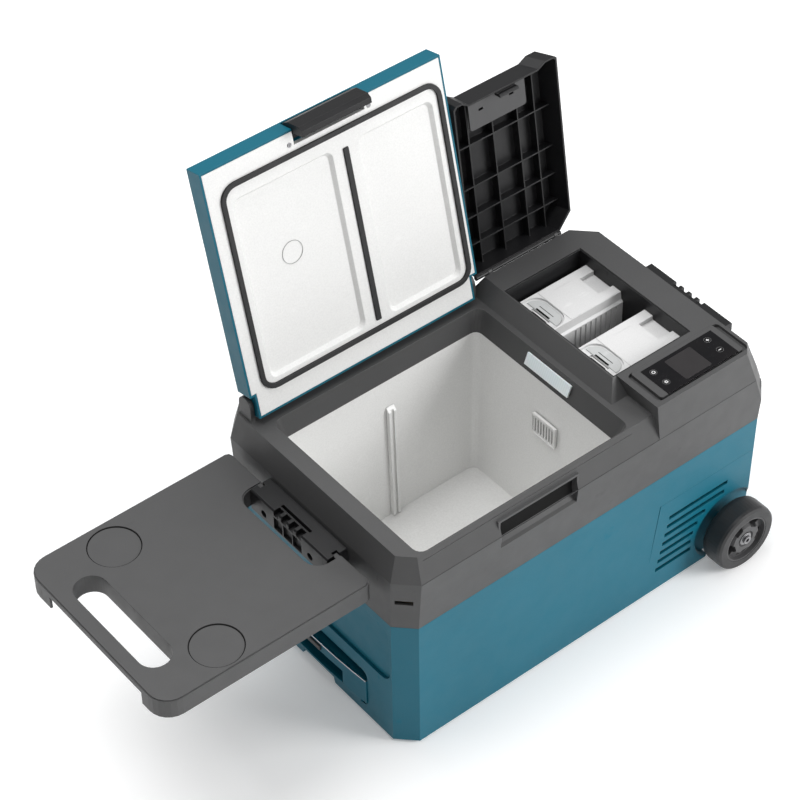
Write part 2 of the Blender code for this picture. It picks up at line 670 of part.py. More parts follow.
def make_power_inlet(looks):
    """Low-voltage inlet on the right end wall, under a hinged rubber cover."""
    centre = (0.080, 0.165)
    socket = block("power_inlet", (0.270, 0.3015), (0.0660, 0.0940), (0.1510, 0.1790), looks["black"])
    flange = block("flange", (0.3003, 0.3025), (0.0620, 0.0980), (0.1470, 0.1830))
    fuse(socket, flange)
    pins = turned("recess", [(0.003, 0.0), (0.010, 0.0), (0.010, 0.03), (0.003, 0.03)], (0.0, 0.0), None,
                  24, "z")
    pins.data.transform(Matrix.Translation((0.288, *centre)) @ Matrix.Rotation(math.radians(90), 4, "Y"))
    cut(socket, pins)
    finish(socket, 35)
    cover = block("inlet_cover", (0.3030, 0.3055), (0.0615, 0.0985), (0.1465, 0.1850), looks["rubber"])
    knuckle = disc("knuckle", "y", (0.3050, 0.1850), 0.0018, (0.0650, 0.0950), steps=12)
    fuse(cover, knuckle)
    finish(cover, 35)
    hang("inlet_cover_axis", (0.3050, 0.080, 0.1850), [cover])


# ---------------------------------------------------------------- battery bay
def make_battery_bay(looks):
    tray = block("battery_tray", grown(BAY_X, -GAP), grown(BAY_Y, -GAP), (BAY_FLOOR_Z, DECK_Z - 0.0008),
                 looks["black"])
    inside = block("inside", grown(BAY_X, -0.002), grown(BAY_Y, -0.002), (BAY_FLOOR_Z + 0.002, 0.37))
    cut(tray, inside)
    finish(tray)
    for word, front in BATTERY_FRONTS.items():
        middle = front + BATTERY_SIZE[1] / 2
        low = BAY_FLOOR_Z + 0.002 + GAP
        post = block("terminal_" + word, (0.1010, 0.1400), (middle - 0.016, middle + 0.016),
                     (low, low + 0.004),
                     looks["copper"])
        cut(post, *[block("gap", (0.1005, 0.1330), (middle + y - 0.003, middle + y + 0.003),
                          (low + 0.0015, low + 0.01)) for y in (-0.008, 0.0, 0.008)])
        finish(post)


def arch_outline(x0, x1, y0, y1, steps=6):
    """Flat on the left, with both right corners swept round."""
    reach = 0.018
    half = 0.30 * (y1 - y0)
    points = [(x0, y0)]
    for start, cy in ((-90, y0 + half), (0, y1 - half)):
        for step in range(steps + 1):
            angle = math.radians(start + 90 * step / steps)
            points.append((x1 - reach + reach * math.cos(angle), cy + half * math.sin(angle)))
    points.append((x0, y1))
    return points


def make_battery(looks, word, front):
    """Tool battery: stepped top, hook recess, rail notch and ribbed sides."""
    x0, x1 = BATTERY_X
    y0, y1 = front, front + BATTERY_SIZE[1]
    low = BAY_FLOOR_Z + 0.002 + GAP + 0.0045
    top = low + BATTERY_SIZE[2] - 0.004
    step = top - 0.014
    side = [(y0 + 0.004, low), (y1 - 0.004, low), (y1, low + 0.006), (y1, step),
            (y1 - 0.003, step + 0.003), (y1 - 0.005, top), (y0 + 0.005, top), (y0 + 0.003, step + 0.003),
            (y0, step), (y0, low + 0.006)]
    body = prism("battery_" + word, side, (x0, x1), looks["battery"], axis="x")
    latch_seat = block("seat", (x0 - 0.01, x0 + 0.0120), (y0 + 0.022, y1 - 0.022), (top - 0.016, top + 0.01))
    shelf = prism("shelf", arch_outline(x0 - 0.01, x0 + 0.0330, y0 + 0.0075, y1 - 0.0075),
                  (top - 0.0030, top + 0.01))
    notch = block("notch", (x1 - 0.024, x1 + 0.01), (y0 + 0.020, y1 - 0.020), (top - 0.0060, top + 0.01))
    ribs = []
    for number in range(9):
        x = x0 + 0.034 + 0.0085 * number
        for face in (y0, y1):
            ribs.append(block("groove", (x, x + 0.0035), (face - 0.0015, face + 0.0015),
                              (low + 0.012, step - 0.002)))
    cut(body, latch_seat, shelf, notch, *ribs)
    foot = block("terminal_space", (x0 + 0.005, x0 + 0.049), (y0 + 0.020, y1 - 0.020),
                 (low - 0.01, low + 0.0025))
    cut(body, foot)
    finish(body)
    button = block("battery_button_" + word, (x0 + 0.0005, x0 + 0.0110), (y0 + 0.0227, y1 - 0.0227),
                   (top - 0.0157, top - 0.0040), looks["battery"], radius=0.002)
    lift, base = hang("battery_%s_lift" % word, (x0, (y0 + y1) / 2, low), [body])
    hang("battery_%s_button_axis" % word, (x0, (y0 + y1) / 2, top), [button], parent=(lift, base))


# ---------------------------------------------------------------- control panel
def make_panel(looks):
    bezel = block("panel_bezel", (0.1030, 0.2390), (-0.1712, -0.1161), (DECK_Z - 0.0042, DECK_Z + 0.0006),
                  looks["dark"], radius=0.003)
    cut(bezel, block("seat", (0.1140, 0.2310), (-0.1800, -0.1215), (DECK_Z - 0.0016, DECK_Z + 0.01)))
    finish(bezel, 35)
    block("panel_glass", (0.1143, 0.2307), (-0.1712, -0.1218), (DECK_Z - 0.0013, DECK_Z + 0.0010),
          looks["glass"])


# ---------------------------------------------------------------- lid
def notched(xs, ys, notch_y, left, right):
    """Lid outline with a rectangular notch in each back corner."""
    (x0, x1), (y0, y1) = xs, ys
    return [(x0, y0), (x1, y0), (x1, notch_y), (x1 - right, notch_y),
            (x1 - right, y1), (x0 + left, y1), (x0 + left, notch_y), (x0, notch_y)]


def lid_outline(inset=0.0):
    return notched(grown(LID_X, -inset), grown(LID_Y, -inset), LID_NOTCH_Y - inset,
                   LID_NOTCH_LEFT, LID_NOTCH_RIGHT)


def latch_space(grow=0.0):
    """Notch in the lid's front edge that takes the latch."""
    return block("latch_space", grown(LATCH_X, 0.0006 + grow), (-0.195, -0.1640 + grow),
                 (LID_Z[0] - 0.01, LID_Z[1] - 0.0042 + grow))


def frame_groove(xs, ys, radius, width, top):
    """Shallow moulded groove round a panel in a flat top."""
    depth = 0.0008
    groove = prism("groove", rounded(xs, ys, radius, 5), (top - depth, top + 0.01))
    inside = prism("inside", rounded(grown(xs, -width), grown(ys, -width), radius - width, 5),
                   (top - 0.02, top + 0.02))
    return cut(groove, inside)


def make_lid(looks):
    low, high = LID_Z
    edge = 0.0025
    shell = loft("lid_shell", [(low, lid_outline()), (high - 0.0018, lid_outline()),
                               (high, lid_outline(0.0018))],
                 looks["teal"])
    hollow = prism("hollow", lid_outline(edge), (low - 0.01, high - edge))
    cut(hollow, latch_space(edge))
    liner_top = low + 0.0070
    liner_seat = prism("liner_seat", lid_outline(edge), (low - 0.01, liner_top + GAP))
    cut(shell, hollow, latch_space(), liner_seat)
    cut(shell, frame_groove((-0.262, 0.036), (-0.154, 0.118), 0.020, 0.005, high))
    bores = [disc("bore", "x", (LID_PIVOT.y, LID_PIVOT.z), 0.0028, span, steps=16)
             for span in ((-0.286, -0.2790), (0.0495, 0.056))]
    cut(shell, *bores)
    finish(shell, 25)

    liner = prism("lid_liner", lid_outline(edge + GAP), (low, liner_top), looks["white"])
    gasket_outer = ((-0.2705, 0.0550), (-0.1565, 0.1245))
    gasket_width = 0.0060
    gasket_bend = 0.022

    def gasket_outline(inset):
        return rounded(*(grown(span, -inset) for span in gasket_outer), gasket_bend - inset, 6)

    groove = prism("groove", gasket_outline(-GAP), (low - 0.01, low + 0.003))
    core = prism("core", gasket_outline(gasket_width + GAP), (low - 0.02, low + 0.01))
    cut(groove, core)
    cut(liner, latch_space(GAP), groove)
    middle_x = -0.0915
    strip_half = 0.0035
    panel_ys = (-0.1340, 0.1120)
    for xs in ((-0.2555, middle_x - 0.019), (middle_x + 0.019, 0.0405)):
        low_ring = rounded(xs, panel_ys, 0.010)
        high_ring = rounded(grown(xs, -0.004), grown(panel_ys, -0.004), 0.008)
        cut(liner, loft("panel", [(low - 0.0001, low_ring), (low + 0.0050, high_ring)]))
    strip_ys = (-0.129, 0.110)
    cut(liner, block("strip_seat", (middle_x - strip_half - GAP, middle_x + strip_half + GAP),
                     grown(strip_ys, GAP), (low - 0.01, low + 0.0015)))
    finish(liner, 25)
    block("lid_strip", (middle_x - strip_half, middle_x + strip_half), strip_ys, (low - 0.0020, low + 0.0012),
          looks["rubber"])
    gasket = prism("lid_gasket", gasket_outline(0.0), (low - 0.0028, low + 0.0027), looks["rubber"])
    cut(gasket, prism("inside", gasket_outline(gasket_width), (low - 0.01, low + 0.01)))
    finish(gasket, 35)

    foam = prism("lid_insulation", lid_outline(edge + 0.001), (liner_top + GAP, high - edge - GAP),
                 looks["foam"])
    foam_bores = [block("relief", span, (0.127, 0.156), (low, high))
                  for span in ((-0.29, -0.272), (0.043, 0.07))]
    cut(foam, latch_space(edge + 0.001), *foam_bores)
    finish(foam)

    pivot_y, pivot_z = LATCH_PIVOT.y, LATCH_PIVOT.z
    profile = [(pivot_y + 0.0065 * math.cos(math.radians(a)), pivot_z + 0.0055 * math.sin(math.radians(a)))
               for a in range(-30, 151, 20)]
    profile += [(-0.1865, 0.3540), (-0.1905, 0.3440), (-0.1905, 0.3220), (-0.1860, 0.3170), (-0.1790, 0.3170),
                (-0.1790, 0.3350), (-0.1700, 0.3400)]
    latch = prism("lid_latch", profile, LATCH_X, looks["black"], axis="x", smooth=25)
    cut(latch, disc("bore", "x", (pivot_y, pivot_z), 0.0018, (-0.17, -0.03), steps=12))
    finish(latch, 25)
    pin = disc("lid_latch_pin", "x", (pivot_y, pivot_z), 0.0015, (LATCH_X[0] - 0.0004, LATCH_X[1] + 0.0004),
               looks["steel"], 12)
    screws = []
    for word, x in (("left", LATCH_X[0] - 0.0075), ("right", LATCH_X[1] + 0.0075)):
        seat = disc("seat", "z", (x, -0.1660), 0.0032, (low - 0.01, low + 0.0014), steps=16)
        cut(bpy.data.objects["lid_liner"], seat)
        screw = disc("latch_screw_" + word, "z", (x, -0.1660), 0.0028, (low - 0.0004, low + 0.0011),
                     looks["steel"], 16)
        cut(screw, block("cross", (x - 0.0018, x + 0.0018), (-0.1663, -0.1657), (low - 0.01, low + 0.0002)),
            block("cross", (x - 0.0003, x + 0.0003), (-0.1678, -0.1642), (low - 0.01, low + 0.0002)))
        screws.append(finish(screw, 35))
    finish(bpy.data.objects["lid_liner"], 25)
    pieces = [shell, liner, gasket, bpy.data.objects["lid_strip"], foam, pin, *screws]
    lid, base = hang("lid_axis", LID_PIVOT, pieces, -LID_OPEN)
    hang("lid_latch_axis", LATCH_PIVOT, [latch], parent=(lid, base))
    for word, span in (("left", (-0.2888, -0.2796)), ("right", (0.0502, 0.0618))):
        disc("lid_hinge_pin_" + word, "x", (LID_PIVOT.y, LID_PIVOT.z), 0.0025, span, looks["steel"], 16)


# ---------------------------------------------------------------- battery cover
def cover_outline(inset=0.0, lean=0.0):
    """Outline with a long finger recess in its front edge; lean draws in the right end."""
    x0, x1 = grown(COVER_X, -inset)
    y0, y1 = grown(COVER_Y, -inset)
    x1 -= lean
    left, right = COVER_RECESS_X
    back = y0 + COVER_RECESS
    return [(x0, y0 + 0.004), (x0 + 0.004, y0), (left, y0), (left + 0.010, back),
            (right - lean - 0.012, back),
            (right - lean, y0), (x1 - 0.003, y0), (x1, y0 + 0.003), (x1, y1 - 0.020), (x1 - 0.020, y1),
            (x0 + 0.003, y1), (x0, y1 - 0.003)]


def make_cover(looks):
    low, high = COVER_Z
    wall = 0.0022
    shell = loft("battery_cover", [(low, cover_outline()), (high - 0.0015, cover_outline(0.0005, 0.0070)),
                                   (high, cover_outline(0.0020, 0.0070))], looks["black"])
    hollow = loft("hollow", [(low - 0.001, cover_outline(wall)),
                             (high - wall, cover_outline(0.0005 + wall, 0.0070))])
    rib_z = (high - 0.0145, high)
    ribs = [block("rib", (x - 0.0009, x + 0.0009), grown(COVER_Y, 0.01), rib_z)
            for x in (0.0960, 0.1345, 0.1745, 0.2020)]
    ribs += [block("rib", grown(COVER_X, 0.01), (y - 0.0009, y + 0.0009), rib_z)
             for y in (-0.0425, 0.0170, 0.0580, 0.0980)]
    cut(hollow, *ribs)
    cut(shell, hollow)
    knuckles = []
    for x0, x1 in COVER_KNUCKLES:
        knuckles.append(disc("knuckle", "x", (COVER_PIVOT.y, COVER_PIVOT.z), COVER_KNUCKLE, (x0, x1),
                             steps=20))
        knuckles.append(block("root", (x0, x1), (0.1305, 0.1350),
                              (DECK_Z + GAP, COVER_PIVOT.z + COVER_KNUCKLE)))
    fuse(shell, *knuckles)
    cut(shell, disc("bore", "x", (COVER_PIVOT.y, COVER_PIVOT.z), 0.0018,
                    (COVER_EARS[0][0] - 0.004, COVER_EARS[1][1] + 0.004), steps=12))
    cut(shell, frame_groove((0.0800, 0.2120), (-0.0960, 0.1020), 0.012, 0.0035, high))
    finish(shell, 25)

    plate = block("cover_latch_plate", (0.0980, 0.1880), (-0.1045, -0.0620), (high - 0.0175, high - 0.0155),
                  looks["grey"], radius=0.004)
    plate_roots = [block("root", (x - 0.003, x + 0.003), (-0.1000, -0.0660),
                         (high - 0.0160, high - 0.0145 - GAP))
                   for x in (0.1345, 0.1745)]
    fuse(plate, *plate_roots)
    holes = [block("hole", (x - 0.0035, x + 0.0035), (-0.0880, -0.0845), (high - 0.03, high))
             for x in (0.117, 0.166)]
    cut(plate, *holes)
    finish(plate)
    inner_wall = COVER_Y[0] + COVER_RECESS + wall + GAP
    latch = prism("cover_latch",
                  [(inner_wall, low + 0.0022), (-0.1036, low + 0.0022), (-0.1036, low - 0.0010),
                                  (-0.1043, low - 0.0030), (-0.1020, low - 0.0050), (-0.1006, low - 0.0050),
                                  (-0.1006, low + 0.0062), (inner_wall, low + 0.0062)],
                  (0.135, 0.165), looks["black"], axis="x")
    pin = disc("cover_hinge_pin", "x", (COVER_PIVOT.y, COVER_PIVOT.z), 0.0015,
               (COVER_EARS[0][0] - 0.0035, COVER_EARS[1][1] + 0.0035), looks["steel"], 12)
    finish(pin, 35)
    hang("cover_axis", COVER_PIVOT, [shell, plate, latch], -COVER_OPEN)


# ---------------------------------------------------------------- side table and brackets
def arc(cx, cy, radius, start, stop, steps):
    return [(cx + radius * math.cos(math.radians(start + (stop - start) * i / steps)),
             cy + radius * math.sin(math.radians(start + (stop - start) * i / steps)))
            for i in range(steps + 1)]


def table_outline(inset=0.0):
    """Rounded slab with a notch for the bracket; a lug in each side of the notch."""
    x0, x1 = grown(TABLE_X, -inset)
    y0, y1 = grown(TABLE_Y, -inset)
    far, near = 0.028 - inset, 0.006
    points = arc(x0 + far, y0 + far, far, 180, 270, 6)
    points += arc(x1 - near, y0 + near, near, -90, 0, 2)
    points += [(x1, -NOTCH_HALF - inset)]
    if inset == 0.0:
        points += [(LUG_X[1], -NOTCH_HALF), (LUG_X[1], -LUG_TIP), (LUG_X[0], -LUG_TIP),
                   (LUG_X[0], -NOTCH_HALF)]
    bend = 0.020 + inset
    cx = NOTCH_X - inset + bend
    points += arc(cx, -NOTCH_HALF - inset + bend, bend, 270, 180, 5)
    points += arc(cx, NOTCH_HALF + inset - bend, bend, 180, 90, 5)
    if inset == 0.0:
        points += [(LUG_X[0], NOTCH_HALF), (LUG_X[0], LUG_TIP), (LUG_X[1], LUG_TIP), (LUG_X[1], NOTCH_HALF)]
    points += [(x1, NOTCH_HALF + inset)]
    points += arc(x1 - near, y1 - near, near, 0, 90, 2)
    points += arc(x0 + far, y1 - far, far, 90, 180, 6)
    return points


def make_table(looks):
    low, high = TABLE_Z
    slab = prism("side_table", table_outline(), (low, high - 0.0015), looks["dark"])
    fuse(slab, prism("top", table_outline(0.0015), (high - 0.0020, high)))
    slot_xs = (-0.5905, -0.5485)
    slot_ys = (-0.082, 0.086)
    under = prism("under", table_outline(WALL), (low - 0.01, high - WALL))
    cut(under, prism("slot_wall", rounded(grown(slot_xs, WALL), grown(slot_ys, WALL), 0.0239, 8), (0.2, 0.3)))
    ribs = [block("rib", (x - 0.001, x + 0.001), TABLE_Y, (low + 0.004, high))
            for x in (-0.525, -0.440, -0.370)]
    ribs.append(block("rib", (-0.54, -0.36), (-0.001, 0.001), (low + 0.004, high)))
    cut(under, *ribs)
    cut(slab, under)
    cut(slab, prism("slot", rounded(slot_xs, slot_ys, 0.0209, 8), (0.2, 0.3)))
    cut(slab, disc("cup", "z", (-0.5105, 0.1030), CUP_RADIUS, (high - 0.0014, high + 0.01), steps=40),
        disc("cup", "z", (-0.5080, -0.0965), CUP_RADIUS, (high - 0.0014, high + 0.01), steps=40))
    cut(slab, block("grip", (TABLE_X[0] - 0.01, TABLE_X[0] + 0.012), (-0.092, 0.092),
                    (low - 0.01, high - 0.0090)))
    finish(slab, 25)
    hang("table_lift", ((TABLE_X[0] + TABLE_X[1]) / 2, 0.005, low), [slab])


def make_bracket(looks, side, word, profile, slot_x):
    """Table bracket on an end of the frame: pockets in its top and outer face.

    The profile runs from the wall's foot round the outside; slot_x is its long slot's middle.
    """
    outline = [(side * x, z) for x, z in profile]
    outer = profile[2][0]
    low, high = profile[0][1], profile[-1][1]
    body = prism("table_bracket_" + word, outline, (-BRACKET_HALF, BRACKET_HALF), looks["black"], axis="y")

    def along(x0, x1):
        return sorted((side * x0, side * x1))

    cuts = [block("slot", along(slot_x - 0.002, slot_x + 0.002), (-0.027, 0.029),
                  (high - 0.012, high + 0.01))]
    cuts += [block("tooth_gap", along(slot_x + 0.0045, outer + 0.01), (y - 0.0048, y + 0.0048),
                   (high - 0.008, high + 0.01))
             for y in (-0.0200, -0.0055, 0.0090, 0.0235)]
    cuts += [block("window", along(outer - 0.004, outer + 0.01), (y - 0.0085, y + 0.0085),
                   (low + 0.012, high - 0.0105))
             for y in (-0.0165, 0.0020, 0.0205)]
    cuts += [disc("hole", "x", (y, low + 0.020), 0.0052, along(outer - 0.010, outer + 0.01), steps=20)
             for y in (-0.0410, 0.0490)]
    for end in (-1, 1) if side < 0 else ():
        cuts.append(block("lug_slot", along(LUG_SLOT[0], LUG_SLOT[1]),
                          sorted((end * (LUG_TIP - 0.0008), end * 0.09)), (TABLE_Z[0] - GAP, high + 0.01)))
    cut(body, *cuts)
    finish(body, 35)


# ---------------------------------------------------------------- wheels
def make_wheel(looks, side, word):
    inner, outer = (side * y for y in WHEEL_Y)
    r = WHEEL_RADIUS
    rim = 0.0345
    profile = [(rim, inner), (r - 0.004, inner), (r - 0.001, inner + side * 0.003), (r, inner + side * 0.008),
               (r, outer - side * 0.006), (r - 0.001, outer - side * 0.002), (r - 0.004, outer),
               (rim, outer)]
    tyre = turned("tyre_" + word, profile, (WHEEL_X, r), looks["rubber"], 56)

    rim_out = rim - GAP
    hub = turned("hub_" + word, [(AXLE_RADIUS + GAP, inner + side * 0.002), (rim_out, inner + side * 0.002),
                                 (rim_out, outer - side * 0.0005), (0.0325, outer - side * 0.0005),
                                 (0.0315, outer - side * 0.007), (0.024, outer - side * 0.006),
                                 (0.0215, outer - side * 0.0015), (0.0125, outer - side * 0.0015),
                                 (0.0115, outer - side * 0.0035), (AXLE_RADIUS + GAP, outer - side * 0.0035)],
                 (WHEEL_X, r), looks["grey"], 48)
    windows = []
    for number in range(5):
        outline = []
        turn = 72 * number + 54
        for radius, degrees in ((0.0195, 16), (0.0310, 22), (0.0310, 0), (0.0310, -22), (0.0195, -16)):
            angle = math.radians(turn + degrees)
            outline.append((WHEEL_X + radius * math.cos(angle), r + radius * math.sin(angle)))
        windows.append(prism("window", outline, sorted((inner - side * 0.01, outer + side * 0.01)), axis="y"))
    cut(hub, *windows)
    finish(hub, 30)
    hang("wheel_%s_axis" % word, (WHEEL_X, side * (WHEEL_Y[0] + WHEEL_Y[1]) / 2, r), [tyre, hub])
    start = outer - side * 0.0032
    nut = [(0.0028, start), (0.0095, start), (0.0095, start + side * 0.0014), (0.0060, start + side * 0.0018),
           (0.0060, start + side * 0.0050), (0.0028, start + side * 0.0050)]
    turned("axle_nut_" + word, nut, (WHEEL_X, r), looks["steel"], 24)


def make_wheels(looks):
    reach = WHEEL_Y[1] - 0.0038
    disc("axle", "y", (WHEEL_X, WHEEL_RADIUS), AXLE_RADIUS, (-reach, reach), looks["steel"], 24)
    for side, word in ((-1, "front"), (1, "back")):
        make_wheel(looks, side, word)


# ---------------------------------------------------------------- pull handle
def make_handle(looks):
    moving = []
    for side, word in ((-1, "front"), (1, "back")):
        y = side * HANDLE_Y
        outer = disc("handle_sleeve_" + word, "x", (y, HANDLE_Z), 0.0100, (-0.2775, 0.110),
                     looks["aluminium"], 24)
        cut(outer, disc("bore", "x", (y, HANDLE_Z), 0.0085, (-0.30, 0.107), steps=24))
        finish(outer, 35)
        tube = disc("handle_tube_" + word, "x", (y, HANDLE_Z), 0.0080, (-0.2905, 0.080), looks["chrome"], 24)
        cut(tube, disc("bore", "x", (y, HANDLE_Z), 0.0065, (-0.2875, 0.09), steps=24))
        finish(tube, 35)
        moving.append(tube)
    bow = []
    half = 0.0993
    for step in range(9):
        y = half * (step / 4 - 1)
        bow.append((-0.3045 + 0.0047 * (y / half) ** 2, y))
    outline = bow + [(-0.2910, half), (-0.2910, -half)]
    grip = prism("handle_grip", outline, (0.0270, 0.0680), looks["teal"], smooth=25)
    fuse(grip, block("grip_foot", (-0.3000, -0.2911), (-0.0885, 0.0885), (0.0202, 0.0300)))
    cut(grip, block("finger_gap", (-0.32, -0.28), (-0.056, 0.056), (0.0300, 0.0520), radius=0.006),
        block("button_seat", (-0.3100, -0.2930), (-0.0155, 0.0155), (0.0560, 0.0640)))
    finish(grip, 25)
    lip = [(x - 0.0012, y) for x, y in bow] + [(x + 0.0016, y) for x, y in reversed(bow)]
    trim = prism("handle_trim", lip, (0.0680 + GAP, 0.0705), looks["chrome"], smooth=25)
    button = block("handle_button", (-0.3068, -0.2955), (-0.0150, 0.0150), (0.0565, 0.0635), looks["dark"])
    pull, base = hang("handle_slide", (-0.2975, 0.0, HANDLE_Z), [grip, trim, *moving])
    hang("handle_button_axis", (-0.3068, 0.0, 0.0600), [button], parent=(pull, base))


# ---------------------------------------------------------------- assembly
def main():
    for old in list(bpy.data.objects):
        bpy.data.objects.remove(old)
    looks = make_materials()
    make_housing(looks)
    make_frame(looks)
    make_tank(looks)
    make_tank_fittings(looks)
    make_machinery(looks)
    make_power_inlet(looks)
    make_battery_bay(looks)
    for word, front in BATTERY_FRONTS.items():
        make_battery(looks, word, front)
    make_panel(looks)
    make_lid(looks)
    make_cover(looks)
    make_table(looks)
    make_bracket(looks, -1, "left", LEFT_BRACKET, 0.3195)
    make_bracket(looks, 1, "right", RIGHT_BRACKET, 0.3080)
    make_wheels(looks)
    make_handle(looks)
    for made in bpy.data.objects:
        if made.parent is None:
            made.location += ORIGIN_SHIFT


main()
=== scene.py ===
"""Looks of the portable compressor cooler fridge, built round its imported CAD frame.

Pieces are laid out in body coordinates: the middle of the body on the floor, as the frame's
ORIGIN says.  +X is the wheel and machinery end, -Y the front.
"""

import json
import math

import bmesh
import bpy
from mathutils import Matrix, Quaternion, Vector


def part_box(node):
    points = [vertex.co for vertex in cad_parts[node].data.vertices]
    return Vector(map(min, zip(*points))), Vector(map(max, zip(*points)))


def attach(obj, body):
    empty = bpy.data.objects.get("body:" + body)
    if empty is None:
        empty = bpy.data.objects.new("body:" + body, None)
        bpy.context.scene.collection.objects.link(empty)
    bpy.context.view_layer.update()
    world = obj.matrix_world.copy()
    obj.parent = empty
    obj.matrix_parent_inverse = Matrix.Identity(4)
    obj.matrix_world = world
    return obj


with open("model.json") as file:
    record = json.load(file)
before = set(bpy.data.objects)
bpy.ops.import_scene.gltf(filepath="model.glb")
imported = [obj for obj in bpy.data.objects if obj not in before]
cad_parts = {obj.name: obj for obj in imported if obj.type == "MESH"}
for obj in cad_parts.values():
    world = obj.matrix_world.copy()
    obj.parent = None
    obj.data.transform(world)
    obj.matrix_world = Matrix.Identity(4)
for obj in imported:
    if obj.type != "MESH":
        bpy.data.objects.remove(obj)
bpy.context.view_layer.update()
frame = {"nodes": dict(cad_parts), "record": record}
NODES = frame["nodes"]
ORIGIN = Vector((0.14425, -0.0049, 0.0))          # middle of the body, in the row frame
LID_PIVOT = Vector((0.0, 0.1385, 0.3552))
LID_OPEN = math.radians(103.8)
LIFT = 0.00012                                    # how far a printed or inlaid mark stands proud
SHARP = math.radians(35)                          # edges sharper than this are not smoothed


# ---------------------------------------------------------------- materials
class Tree:
    """Node tree of one material, with short calls for the nodes used here."""

    def __init__(self, name):
        self.made = bpy.data.materials.new(name)
        self.made.use_nodes = True
        self.tree = self.made.node_tree
        self.shader = self.tree.nodes["Principled BSDF"]
        self.place = self.add("ShaderNodeTexCoord").outputs["Object"]

    def add(self, kind, **settings):
        node = self.tree.nodes.new(kind)
        for key, value in settings.items():
            setattr(node, key, value)
        return node

    def link(self, output, socket):
        self.tree.links.new(output, socket)

    def noise(self, scale, detail=2.0, stretch=None):
        node = self.add("ShaderNodeTexNoise")
        node.inputs["Scale"].default_value = scale
        node.inputs["Detail"].default_value = detail
        if stretch:
            mapping = self.add("ShaderNodeMapping")
            mapping.inputs["Scale"].default_value = stretch
            self.link(self.place, mapping.inputs["Vector"])
            self.link(mapping.outputs["Vector"], node.inputs["Vector"])
        else:
            self.link(self.place, node.inputs["Vector"])
        return node.outputs["Fac"]

    def remap(self, value, low, high, to_low, to_high):
        node = self.add("ShaderNodeMapRange")
        node.inputs["From Min"].default_value = low
        node.inputs["From Max"].default_value = high
        node.inputs["To Min"].default_value = to_low
        node.inputs["To Max"].default_value = to_high
        self.link(value, node.inputs["Value"])
        return node.outputs["Result"]

    def mix(self, share, first, second):
        """Mix of two colours; the share and each colour is a plain value or an output."""
        node = self.add("ShaderNodeMix")
        node.data_type = "RGBA"
        for socket, value in ((node.inputs[6], first), (node.inputs[7], second)):
            if isinstance(value, tuple):
                socket.default_value = (*value, 1.0)
            else:
                self.link(value, socket)
        if isinstance(share, float):
            node.inputs[0].default_value = share
        else:
            self.link(share, node.inputs[0])
        return node.outputs[2]

    def maths(self, operation, first, second):
        node = self.add("ShaderNodeMath", operation=operation)
        for socket, value in zip(node.inputs, (first, second)):
            if isinstance(value, float):
                socket.default_value = value
            else:
                self.link(value, socket)
        return node.outputs[0]

    def edges(self, radius):
        """Rounded normal and a mask of the sharp edges that it rounds."""
        bevel = self.add("ShaderNodeBevel", samples=4)
        bevel.inputs["Radius"].default_value = radius
        true = self.add("ShaderNodeNewGeometry").outputs["Normal"]
        dot = self.add("ShaderNodeVectorMath", operation="DOT_PRODUCT")
        self.link(bevel.outputs["Normal"], dot.inputs[0])
        self.link(true, dot.inputs[1])
        return bevel.outputs["Normal"], self.remap(dot.outputs["Value"], 0.995, 0.80, 0.0, 1.0)

    def bump(self, height, strength, distance, normal=None):
        node = self.add("ShaderNodeBump")
        node.inputs["Strength"].default_value = strength
        node.inputs["Distance"].default_value = distance
        self.link(height, node.inputs["Height"])
        if normal:
            self.link(normal, node.inputs["Normal"])
        return node.outputs["Normal"]


def shade(colour, factor):
    return tuple(min(1.0, c * factor) for c in colour)


def moulded(name, colour, roughness, grain=1100.0, relief=0.12, cloud=0.07, wear=0.35, edge=0.0007,
            worn=None, coat=0.0, dust=0.0, gloss=0.5):
    """Injection-moulded plastic: fine spark-eroded grain, cloudy tone, scuffs and paler edges."""
    t = Tree(name)
    cloudy = t.remap(t.noise(5.0, 3.0), 0.35, 0.65, 0.0, 1.0)
    tone = t.mix(cloudy, shade(colour, 1 - cloud), shade(colour, 1 + cloud))
    fine = t.noise(grain, 3.0)
    speck = t.mix(t.remap(fine, 0.3, 0.7, 0.0, 1.0), shade(colour, 0.90), shade(colour, 1.10))
    base = t.mix(0.4, tone, speck)
    scuff = t.remap(t.noise(26.0, 5.0, (1.0, 3.5, 1.3)), 0.66, 0.74, 0.0, 0.18)
    base = t.mix(scuff, base, shade(colour, 1.5))
    rounded, edge_mask = t.edges(edge)
    patchy = t.maths("MULTIPLY", edge_mask, t.remap(t.noise(45.0, 4.0), 0.35, 0.7, 0.25 * wear, wear))
    base = t.mix(patchy, base, worn or shade(colour, 2.2))
    if dust:
        base = t.mix(t.remap(t.noise(11.0, 6.0), 0.55, 0.8, 0.0, dust), base, (0.30, 0.28, 0.26))
    t.link(base, t.shader.inputs["Base Color"])
    rough = t.maths("ADD", t.remap(t.noise(38.0, 4.0), 0.3, 0.7, roughness - 0.05, roughness + 0.05), scuff)
    t.link(rough, t.shader.inputs["Roughness"])
    t.link(t.bump(fine, relief, 0.0002, rounded), t.shader.inputs["Normal"])
    t.shader.inputs["Specular IOR Level"].default_value = gloss
    t.shader.inputs["Coat Weight"].default_value = coat
    t.shader.inputs["Coat Roughness"].default_value = 0.12
    return t.made


